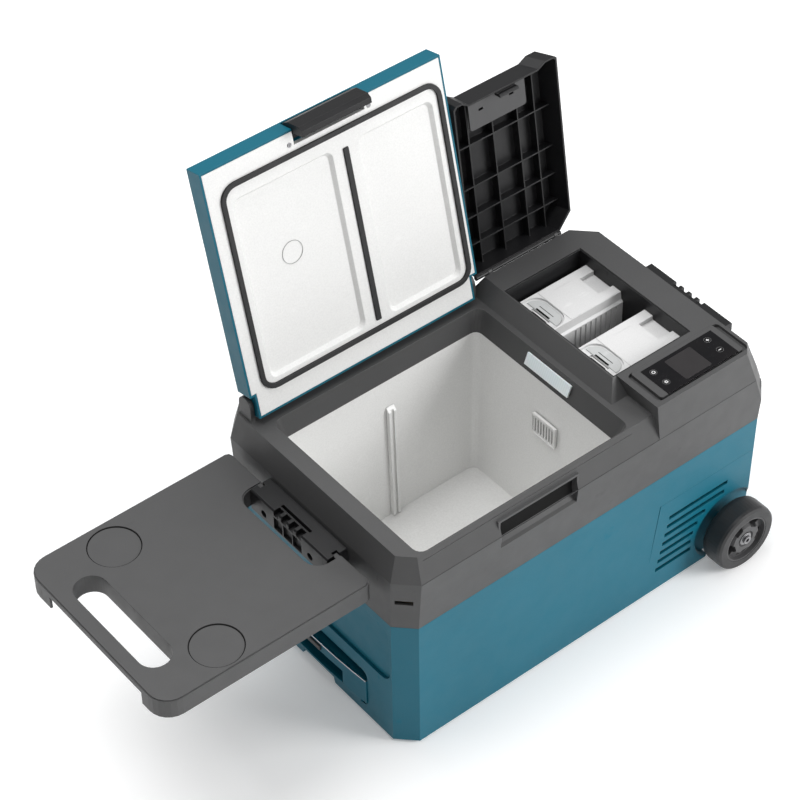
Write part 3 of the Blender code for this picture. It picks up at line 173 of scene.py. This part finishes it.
def metal(name, colour, roughness, stretch, relief=0.05):
    """Metal with drawn or brushed lines along one axis and a little tarnish."""
    t = Tree(name)
    lines = t.noise(400.0, 2.0, stretch)
    tone = t.mix(t.remap(t.noise(9.0, 4.0), 0.35, 0.7, 0.0, 1.0), colour, shade(colour, 0.82))
    drawn = t.mix(t.remap(lines, 0.3, 0.7, 0.0, 0.3), tone, shade(colour, 0.75))
    t.link(drawn, t.shader.inputs["Base Color"])
    t.link(t.remap(lines, 0.3, 0.7, roughness * 0.8, roughness * 1.3), t.shader.inputs["Roughness"])
    rounded, _ = t.edges(0.0004)
    t.link(t.bump(lines, relief, 0.0002, rounded), t.shader.inputs["Normal"])
    t.shader.inputs["Metallic"].default_value = 1.0
    return t.made


def rubber_material(name, colour, roughness):
    t = Tree(name)
    fine = t.noise(900.0, 2.0)
    base = t.mix(t.remap(t.noise(14.0, 4.0), 0.4, 0.7, 0.0, 1.0), colour, shade(colour, 1.5))
    rounded, edge_mask = t.edges(0.0007)
    base = t.mix(t.remap(edge_mask, 0.0, 1.0, 0.0, 0.3), base, shade(colour, 2.6))
    t.link(base, t.shader.inputs["Base Color"])
    rough = t.remap(t.noise(60.0, 3.0), 0.3, 0.7, roughness - 0.08, roughness + 0.08)
    t.link(rough, t.shader.inputs["Roughness"])
    t.link(t.bump(fine, 0.15, 0.0002, rounded), t.shader.inputs["Normal"])
    return t.made


def glass_material():
    """Smoked panel with faint finger marks."""
    t = Tree("smoked_panel")
    cloudy = t.remap(t.noise(30.0, 3.0), 0.4, 0.7, 0.0, 1.0)
    t.link(t.mix(cloudy, (0.003, 0.003, 0.004), (0.006, 0.005, 0.006)), t.shader.inputs["Base Color"])
    t.link(t.remap(t.noise(90.0, 5.0), 0.45, 0.75, 0.16, 0.34), t.shader.inputs["Roughness"])
    t.shader.inputs["Specular IOR Level"].default_value = 0.25
    rounded, _ = t.edges(0.0005)
    t.link(t.bump(t.noise(250.0, 2.0), 0.01, 0.0001, rounded), t.shader.inputs["Normal"])
    return t.made


def foam_material():
    """Cut foam with small cells."""
    t = Tree("foam")
    cells = t.add("ShaderNodeTexVoronoi")
    cells.inputs["Scale"].default_value = 600.0
    t.link(t.place, cells.inputs["Vector"])
    depth = t.remap(cells.outputs["Distance"], 0.0, 0.6, 0.0, 1.0)
    t.link(t.mix(depth, (0.80, 0.72, 0.50), (0.62, 0.54, 0.34)), t.shader.inputs["Base Color"])
    t.link(t.bump(cells.outputs["Distance"], 0.6, 0.0006), t.shader.inputs["Normal"])
    t.shader.inputs["Roughness"].default_value = 0.95
    return t.made


def board_material():
    """Circuit board: green mask over the copper's lines."""
    t = Tree("circuit_board")
    brick = t.add("ShaderNodeTexBrick")
    brick.inputs["Scale"].default_value = 140.0
    brick.inputs["Color1"].default_value = (0.012, 0.14, 0.05, 1.0)
    brick.inputs["Color2"].default_value = (0.02, 0.20, 0.08, 1.0)
    brick.inputs["Mortar"].default_value = (0.35, 0.30, 0.10, 1.0)
    t.link(t.place, brick.inputs["Vector"])
    t.link(brick.outputs["Color"], t.shader.inputs["Base Color"])
    t.link(t.remap(t.noise(200.0), 0.3, 0.7, 0.35, 0.55), t.shader.inputs["Roughness"])
    return t.made


def lamp_material():
    """Frosted diffuser with faint vertical prisms."""
    t = Tree("frosted_lens")
    wave = t.add("ShaderNodeTexWave")
    wave.inputs["Scale"].default_value = 90.0
    wave.bands_direction = "Y"
    t.link(t.place, wave.inputs["Vector"])
    t.link(t.mix(wave.outputs["Fac"], (0.82, 0.82, 0.82), (0.87, 0.87, 0.87)), t.shader.inputs["Base Color"])
    t.link(t.bump(wave.outputs["Fac"], 0.15, 0.0003), t.shader.inputs["Normal"])
    t.shader.inputs["Roughness"].default_value = 0.35
    t.shader.inputs["Subsurface Weight"].default_value = 0.2
    return t.made


TEAL = (0.0035, 0.120, 0.178)
CHARCOAL = (0.061, 0.061, 0.062)
INK = (0.009, 0.009, 0.010)
LOOKS = {
    "teal": moulded("teal_moulded", TEAL, 0.42, wear=0.35, worn=(0.06, 0.30, 0.38), gloss=0.26),
    "dark": moulded("charcoal_moulded", CHARCOAL, 0.50, grain=900.0, relief=0.20, wear=0.45,
                    worn=(0.19, 0.19, 0.19), gloss=0.42),
    "black": moulded("black_moulded", INK, 0.42, grain=900.0, relief=0.18, wear=0.5, worn=(0.07, 0.07, 0.07),
                     gloss=0.38),
    "white": moulded("white_liner", (0.80, 0.80, 0.79), 0.34, grain=500.0, relief=0.03, cloud=0.015,
                     wear=0.2, edge=0.0012, worn=(0.90, 0.90, 0.89), coat=0.2),
    "grey": moulded("grey_moulded", (0.068, 0.068, 0.070), 0.45, wear=0.5, worn=(0.22, 0.22, 0.22), dust=0.06,
                    gloss=0.40),
    "battery": moulded("battery_case", (0.66, 0.66, 0.66), 0.42, grain=700.0, relief=0.15, cloud=0.03,
                       wear=0.3, worn=(0.78, 0.78, 0.78)),
    "battery_cap": moulded("battery_cap", (0.50, 0.51, 0.51), 0.36, grain=700.0, relief=0.10, cloud=0.03,
                           wear=0.4, worn=(0.76, 0.76, 0.76)),
    # near-black for real print and black parts, and also painted shade in the cup rings, battery slots and
    # latch pocket
    "ink_and_shade": moulded("black_ink_and_painted_shade", (0.006, 0.006, 0.006), 0.70, wear=0.0, gloss=0.12),
    "print": moulded("pale_print", (0.82, 0.82, 0.82), 0.5, grain=1500.0, relief=0.05, wear=0.0),
    "faint_print": moulded("faint_print", (0.16, 0.16, 0.16), 0.5, grain=1500.0, relief=0.05, wear=0.0),
    "display": moulded("display_tint", (0.018, 0.016, 0.017), 0.30, relief=0.02, wear=0.0),
    # painted shade: near-black for the line along the frame's ridge and the floors of the sensor cover's
    # slots
    "painted_shade": moulded("painted_shade_line", (0.030, 0.030, 0.031), 0.6, wear=0.0),
    "pale_line": moulded("liner_line", (0.40, 0.40, 0.40), 0.5, wear=0.0),
    "rubber": rubber_material("black_rubber", (0.014, 0.014, 0.015), 0.6),
    "tyre": rubber_material("tyre_rubber", (0.020, 0.020, 0.021), 0.50),
    "glass": glass_material(),
    "foam": foam_material(),
    "board": board_material(),
    "lens": lamp_material(),
    "steel": metal("bright_steel", (0.34, 0.34, 0.35), 0.36, (1.0, 12.0, 12.0)),
    "chrome": metal("polished_chrome", (0.80, 0.80, 0.82), 0.08, (1.0, 8.0, 8.0), relief=0.01),
    "aluminium": metal("drawn_aluminium", (0.68, 0.69, 0.70), 0.32, (0.6, 14.0, 14.0)),
    "copper": metal("contact_copper", (0.72, 0.38, 0.22), 0.28, (1.0, 10.0, 10.0)),
    "enamel": moulded("compressor_enamel", (0.018, 0.018, 0.018), 0.22, grain=60.0, relief=0.08, coat=0.5),
}
for entry in frame["record"]["subparts"]:
    node = NODES[entry["node"]]
    node.data.materials.clear()
    node.data.materials.append(LOOKS[entry["material_slot"]])


# ---------------------------------------------------------------- shapes
def piece(name, build, look, body, bevel=0.0, lid=False):
    """Finish a bmesh laid out in body coordinates as a piece that rides on a body."""
    bmesh.ops.remove_doubles(build, verts=build.verts, dist=1e-7)
    bmesh.ops.recalc_face_normals(build, faces=build.faces)
    mesh = bpy.data.meshes.new(name)
    build.to_mesh(mesh)
    build.free()
    if lid:
        turn = Matrix.Rotation(-LID_OPEN, 4, "X")
        mesh.transform(Matrix.Translation(LID_PIVOT) @ turn @ Matrix.Translation(-LID_PIVOT))
    mesh.transform(Matrix.Translation(ORIGIN))
    mesh.shade_smooth()
    mesh.set_sharp_from_angle(angle=SHARP)
    made = bpy.data.objects.new(name, mesh)
    bpy.context.scene.collection.objects.link(made)
    mesh.materials.append(LOOKS[look])
    if bevel:
        modifier = made.modifiers.new("edge", "BEVEL")
        modifier.width = bevel
        modifier.segments = 2
        modifier.limit_method = "ANGLE"
    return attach(made, body)


def add_solid(build, first, second):
    """Closed solid between two outlines with the same number of points."""
    rings = [[build.verts.new(point) for point in outline] for outline in (first, second)]
    for i, vert in enumerate(rings[0]):
        j = (i + 1) % len(first)
        build.faces.new((vert, rings[0][j], rings[1][j], rings[1][i]))
    build.faces.new(rings[0])
    build.faces.new(rings[1])


def add_prism(build, outline, low, high):
    """Upright prism over an (x, y) outline."""
    add_solid(build, [(x, y, low) for x, y in outline], [(x, y, high) for x, y in outline])


def add_strip(build, profile, x0, x1):
    """Strip along X with a (y, z) profile."""
    add_solid(build, [(x0, y, z) for y, z in profile], [(x1, y, z) for y, z in profile])


def add_band(build, sections, closed=True):
    """Band that joins sections of four points; an open band has its two ends capped."""
    rows = [[build.verts.new(point) for point in section] for section in sections]
    following = rows[1:] + rows[:1] if closed else rows[1:]
    for a, b in zip(rows, following):
        for k in range(4):
            m = (k + 1) % 4
            build.faces.new((a[k], a[m], b[m], b[k]))
    if not closed:
        build.faces.new(rows[0])
        build.faces.new(rows[-1])


def add_ring(build, centre, inner, outer, low, high, start=0.0, stop=360.0, steps=48):
    """Flat ring, or an arc of one, standing from low to high."""
    whole = stop - start >= 360.0
    sections = []
    for i in range(steps if whole else steps + 1):
        angle = math.radians(start + (stop - start) * i / steps)
        c, s = math.cos(angle), math.sin(angle)
        sections.append([(centre[0] + r * c, centre[1] + r * s, z)
                         for r, z in ((inner, low), (outer, low), (outer, high), (inner, high))])
    add_band(build, sections, whole)


def rectangle(x0, x1, y0, y1):
    return [(x0, y0), (x1, y0), (x1, y1), (x0, y1)]


def rounded_rectangle(x0, x1, y0, y1, radius, steps=5):
    points = []
    for cx, cy, start in ((x1 - radius, y0 + radius, -90), (x1 - radius, y1 - radius, 0),
                          (x0 + radius, y1 - radius, 90), (x0 + radius, y0 + radius, 180)):
        for step in range(steps + 1):
            angle = math.radians(start + 90 * step / steps)
            points.append((cx + radius * math.cos(angle), cy + radius * math.sin(angle)))
    return points


# ---------------------------------------------------------------- control panel marks
PANEL_TOP = 0.3560                                # upper face of the panel's glass
MARK = 0.0010                                     # line width of a printed mark
MARK_HALF = 0.0023                                # half the length of the bar of plus and minus
GEAR_TEETH = 8


def panel_mark(name, centre, draw):
    """Printed sign of a touch key with a faint ring round it."""
    build = bmesh.new()
    add_ring(build, centre, 0.0043, 0.0047, PANEL_TOP, PANEL_TOP + LIFT)
    piece(name + "_ring", build, "faint_print", "cabinet")
    build = bmesh.new()
    draw(build, centre)
    piece(name, build, "print", "cabinet")


def bar(build, centre, half_x, half_y):
    x, y = centre
    outline = rectangle(x - half_x, x + half_x, y - half_y, y + half_y)
    add_prism(build, outline, PANEL_TOP, PANEL_TOP + LIFT)


def draw_plus(build, centre):
    bar(build, centre, MARK_HALF, MARK / 2)
    for side in (-1, 1):
        bar(build, (centre[0], centre[1] + side * 0.00135), MARK / 2, 0.00095)


def draw_minus(build, centre):
    bar(build, centre, MARK_HALF, MARK / 2)


def draw_power(build, centre):
    add_ring(build, centre, 0.0016, 0.0016 + MARK, PANEL_TOP, PANEL_TOP + LIFT, 125, 415, 24)
    bar(build, (centre[0], centre[1] + 0.0018), MARK / 2, 0.0011)


def draw_gear(build, centre):
    add_ring(build, centre, 0.0010, 0.0019, PANEL_TOP, PANEL_TOP + LIFT, steps=24)
    for tooth in range(GEAR_TEETH):
        angle = math.radians(360 / GEAR_TEETH * tooth)
        reach = Vector((math.cos(angle), math.sin(angle)))
        side = Vector((-reach.y, reach.x)) * 0.00042
        inner, outer = Vector(centre) + reach * 0.00195, Vector(centre) + reach * 0.0027
        add_prism(build, [tuple(p) for p in (inner - side, outer - side, outer + side, inner + side)],
                  PANEL_TOP, PANEL_TOP + LIFT)


def make_panel_marks():
    panel_mark("mark_power", (0.1255, -0.1325), draw_power)
    panel_mark("mark_gear", (0.1262, -0.1545), draw_gear)
    panel_mark("mark_plus", (0.2155, -0.1325), draw_plus)
    panel_mark("mark_minus", (0.2155, -0.1545), draw_minus)
    build = bmesh.new()
    window = rounded_rectangle(0.1480, 0.1905, -0.1670, -0.1270, 0.002)
    add_prism(build, window, PANEL_TOP, PANEL_TOP + LIFT)
    piece("display_window", build, "display", "cabinet")


# ---------------------------------------------------------------- table and lid marks
CUP_RINGS = (("cup_ring_back", (-0.5105, 0.1030)), ("cup_ring_front", (-0.5080, -0.0965)))
CUP_RING_RADII = (0.0316, 0.0330)
CUP_RING_HEIGHTS = (0.2866, 0.2869)
LINER_FACE = 0.3415                               # face of the closed lid's liner


def make_rings():
    """Painted shade rings in the steps of the cup places, and the mould mark on the lid's liner."""
    for name, centre in CUP_RINGS:
        build = bmesh.new()
        add_ring(build, centre, *CUP_RING_RADII, *CUP_RING_HEIGHTS, steps=64)
        piece(name, build, "ink_and_shade", "table")
    build = bmesh.new()
    add_ring(build, (-0.188, -0.0315), 0.0143, 0.0150, LINER_FACE - LIFT, LINER_FACE + 0.0002)
    piece("lid_mould_mark", build, "pale_line", "lid", lid=True)


# ---------------------------------------------------------------- batteries
SHELF_DEPTH = 0.0030                              # recess of a battery's top at its release end
SHELF_RISE = 0.0012                               # cap that lies in that recess
RELIEF_RISE = 0.0007                              # raised shape on the rest of the top


def arch_outline(x0, x1, y0, y1, steps=10):
    """Flat on the left, with both right corners swept round."""
    reach = 0.018
    half = (y1 - y0) * 0.30
    points = [(x0, y0)]
    for i in range(steps + 1):
        angle = math.radians(-90 + 90 * i / steps)
        points.append((x1 - reach + reach * math.cos(angle), y0 + half + half * math.sin(angle)))
    for i in range(steps + 1):
        angle = math.radians(90 * i / steps)
        points.append((x1 - reach + reach * math.cos(angle), y1 - half + half * math.sin(angle)))
    points.append((x0, y1))
    return points


def battery_piece(name, outline, low, high, look, body, bevel=0.0):
    build = bmesh.new()
    add_prism(build, outline, low, high)
    piece(name, build, look, body, bevel=bevel)


def make_battery_details():
    """Cap, release grip and raised shape on top of each battery."""
    for number, word in ((1, "front"), (2, "back")):
        low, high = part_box("battery_" + word)
        x0 = low.x - ORIGIN.x
        y0, y1 = low.y - ORIGIN.y, high.y - ORIGIN.y
        top = high.z
        middle = (y0 + y1) / 2
        body = "battery_%d" % number
        shelf = top - SHELF_DEPTH
        cap_top = shelf + SHELF_RISE

        cap = arch_outline(x0 + 0.0125, x0 + 0.0310, y0 + 0.0100, y1 - 0.0100)
        battery_piece("battery_%s_shelf" % word, cap, shelf, cap_top, "battery_cap", body, 0.0004)

        line = rectangle(x0 + 0.0200, x0 + 0.0209, middle - 0.0130, middle + 0.0130)
        battery_piece("battery_%s_line" % word, line, cap_top, cap_top + LIFT, "ink_and_shade", body)

        grip = rounded_rectangle(x0 + 0.0015, x0 + 0.0085, middle - 0.0138, middle + 0.0138, 0.0015)
        battery_piece("battery_%s_grip" % word, grip, top - 0.0040, top - 0.0032, "ink_and_shade",
                      body + "_release", 0.0003)

        # painted shade: a flat dark sheet where the slot in the cap lies in shade
        slot = rounded_rectangle(x0 + 0.0128, x0 + 0.0156, middle - 0.0125, middle + 0.0125, 0.0012)
        battery_piece("battery_%s_slot" % word, slot, cap_top, cap_top + LIFT, "ink_and_shade", body)

        relief = [(x0 + 0.0330, y0 + 0.0060), (x0 + 0.0330, y1 - 0.0060), (x0 + 0.0480, y1 - 0.0060),
                  (x0 + 0.0520, y1 - 0.0160), (x0 + 0.0820, y1 - 0.0160), (x0 + 0.0880, y0 + 0.0140),
                  (x0 + 0.1120, y0 + 0.0140), (x0 + 0.1120, y0 + 0.0060)]
        battery_piece("battery_%s_relief" % word, relief, top, top + RELIEF_RISE, "battery", body, 0.0004)


# ---------------------------------------------------------------- frame lines
def make_pocket_shade():
    """Painted shade on the back wall of the latch's finger pocket, as a thin dark strip."""
    build = bmesh.new()
    profile = [(-0.1696, 0.2850), (-0.1707, 0.2850), (-0.1696, 0.2905),
               (-0.1681, 0.3160), (-0.1670, 0.3160), (-0.1685, 0.2905)]
    add_strip(build, profile, -0.1550, -0.0365)
    piece("latch_pocket_shade", build, "ink_and_shade", "cabinet")


def make_frame_lines():
    """Painted shade line along the ridge of the top frame's front."""
    ridge_y, ridge_z = -0.1804, 0.2960
    half = 0.0005
    face, back = ridge_y - 0.00015, ridge_y + 0.0006
    profile = [(face, ridge_z - half), (face, ridge_z + half), (back, ridge_z + half), (back, ridge_z - half)]
    build = bmesh.new()
    add_strip(build, profile, -0.2768, 0.2583)
    piece("ridge_line", build, "painted_shade", "cabinet")


# ---------------------------------------------------------------- sensor cover and screws
SLOT_COUNT = 8
SLOT_FIRST = -0.0513
SLOT_PITCH = 0.0051
SLOT_WIDTH = 0.0024
SLOT_END = 0.0045                                 # from the cover's edge to a slot's end


def make_tank_marks():
    """Bead round the sensor's cover, and painted shade on the floors of its slots."""
    low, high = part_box("sensor_cover")
    face = low.x - ORIGIN.x
    y0, y1 = low.y - ORIGIN.y, high.y - ORIGIN.y
    build = bmesh.new()
    outer = rounded_rectangle(y0 - 0.0012, y1 + 0.0012, low.z - 0.0012, high.z + 0.0012, 0.003)
    inner = rounded_rectangle(y0 + 0.0012, y1 - 0.0012, low.z + 0.0012, high.z - 0.0012, 0.002)
    back, front = face + 0.0004, face - 0.0006
    add_band(build, [[(back, ay, az), (front, ay, az), (front, by, bz), (back, by, bz)]
                     for (ay, az), (by, bz) in zip(outer, inner)])
    piece("sensor_frame", build, "white", "cabinet")

    # painted shade: a dark sheet at the floor of each slot
    build = bmesh.new()
    for number in range(SLOT_COUNT):
        y = SLOT_FIRST + SLOT_PITCH * number
        floor = rectangle(face + 0.0021, face + 0.0024, y, y + SLOT_WIDTH)
        add_prism(build, floor, low.z + SLOT_END, high.z - SLOT_END)
    piece("sensor_slots", build, "painted_shade", "cabinet")


def add_screw(build, centre, radius, face, sign):
    """Pan-head screw with a cross recess, on a flat face that looks up (1) or down (-1)."""
    x, y = centre
    rim = radius * 0.62
    arm, slim = radius * 0.55, radius * 0.14
    add_ring(build, centre, rim, radius, *sorted((face, face + sign * 0.0006)), steps=20)
    add_ring(build, centre, 0.0002, rim, *sorted((face, face + sign * 0.0003)), steps=20)
    for half_x, half_y in ((arm, slim), (slim, arm)):
        outline = rectangle(x - half_x, x + half_x, y - half_y, y + half_y)
        add_prism(build, outline, *sorted((face + sign * 0.0003, face + sign * 0.00045)))


def make_base_screws():
    """Screws that hold the base, on the housing's underside."""
    build = bmesh.new()
    for x in (-0.270, -0.140, 0.0, 0.140):
        for y in (-0.150, 0.150):
            add_screw(build, (x, y), 0.0045, 0.0040, -1)
    piece("base_screws", build, "steel", "cabinet")


# ---------------------------------------------------------------- studio
FLOOR_HALF = 9


def make_floor():
    """Plain pale floor with a faint glow of its own, so that it stays pale far away."""
    mesh = bpy.data.meshes.new("floor")
    corners = [(x, y, 0) for x, y in rectangle(-FLOOR_HALF, FLOOR_HALF, -FLOOR_HALF, FLOOR_HALF)]
    mesh.from_pydata(corners, [], [(0, 1, 2, 3)])
    floor = bpy.data.objects.new("floor", mesh)
    bpy.context.scene.collection.objects.link(floor)
    t = Tree("pale_floor")
    t.link(t.mix(t.noise(1.5), (0.93, 0.93, 0.93), (0.94, 0.94, 0.94)), t.shader.inputs["Base Color"])
    t.shader.inputs["Roughness"].default_value = 0.8
    t.shader.inputs["Specular IOR Level"].default_value = 0.1
    t.shader.inputs["Emission Color"].default_value = (1.0, 1.0, 1.0, 1.0)
    t.shader.inputs["Emission Strength"].default_value = 0.20
    mesh.materials.append(t.made)


def area_light(name, place, target, size, power):
    """Round soft light, aimed at a target."""
    light = bpy.data.lights.new(name, "AREA")
    light.shape = "DISK"
    light.size = size
    light.energy = power
    made = bpy.data.objects.new(name, light)
    bpy.context.scene.collection.objects.link(made)
    made.location = place
    made.rotation_euler = (Vector(place) - Vector(target)).to_track_quat("Z", "Y").to_euler()


def make_light():
    """Soft studio light: sky brighter towards the right, a key in front and a top light behind."""
    world = bpy.data.worlds.new("studio")
    world.use_nodes = True
    tree = world.node_tree
    background = tree.nodes["Background"]
    background.inputs["Color"].default_value = (1.0, 1.0, 1.0, 1.0)
    place = tree.nodes.new("ShaderNodeTexCoord")
    dot = tree.nodes.new("ShaderNodeVectorMath")
    dot.operation = "DOT_PRODUCT"
    dot.inputs[1].default_value = (0.72, -0.44, 0.53)
    tree.links.new(place.outputs["Generated"], dot.inputs[0])
    level = tree.nodes.new("ShaderNodeMapRange")
    level.inputs["From Min"].default_value = -0.8
    level.inputs["From Max"].default_value = 1.0
    level.inputs["To Min"].default_value = 0.12
    level.inputs["To Max"].default_value = 0.60
    tree.links.new(dot.outputs["Value"], level.inputs["Value"])
    path = tree.nodes.new("ShaderNodeLightPath")
    mix = tree.nodes.new("ShaderNodeMix")
    mix.inputs["B"].default_value = 0.96
    tree.links.new(path.outputs["Is Camera Ray"], mix.inputs["Factor"])
    tree.links.new(level.outputs["Result"], mix.inputs["A"])
    tree.links.new(mix.outputs["Result"], background.inputs["Strength"])
    bpy.context.scene.world = world
    bpy.context.scene.view_settings.view_transform = "Standard"
    area_light("key", (2.2, -2.6, 1.9), (0.1, 0.0, 0.2), 1.8, 86)
    area_light("top", (-0.3, 0.9, 3.5), (0.0, 0.0, 0.2), 2.8, 92)


CAMERA_PLACE = Vector((-1.58762, -1.79577, 2.60780))
CAMERA_TARGET = Vector((-0.16159, 0.0, 0.38808))
CAMERA_ROLL = math.radians(-0.84)


def make_camera():
    camera = bpy.data.cameras.new("camera")
    camera.lens = 121.48
    camera.sensor_width = 36.0
    made = bpy.data.objects.new("camera", camera)
    bpy.context.scene.collection.objects.link(made)
    made.location = CAMERA_PLACE + ORIGIN
    made.rotation_mode = "QUATERNION"
    roll = Quaternion((0.0, 0.0, 1.0), CAMERA_ROLL)
    made.rotation_quaternion = (CAMERA_PLACE - CAMERA_TARGET).to_track_quat("Z", "Y") @ roll
    bpy.context.scene.camera = made


make_panel_marks()
make_rings()
make_battery_details()
make_tank_marks()
make_base_screws()
make_frame_lines()
make_pocket_shade()
make_floor()
make_light()
make_camera()
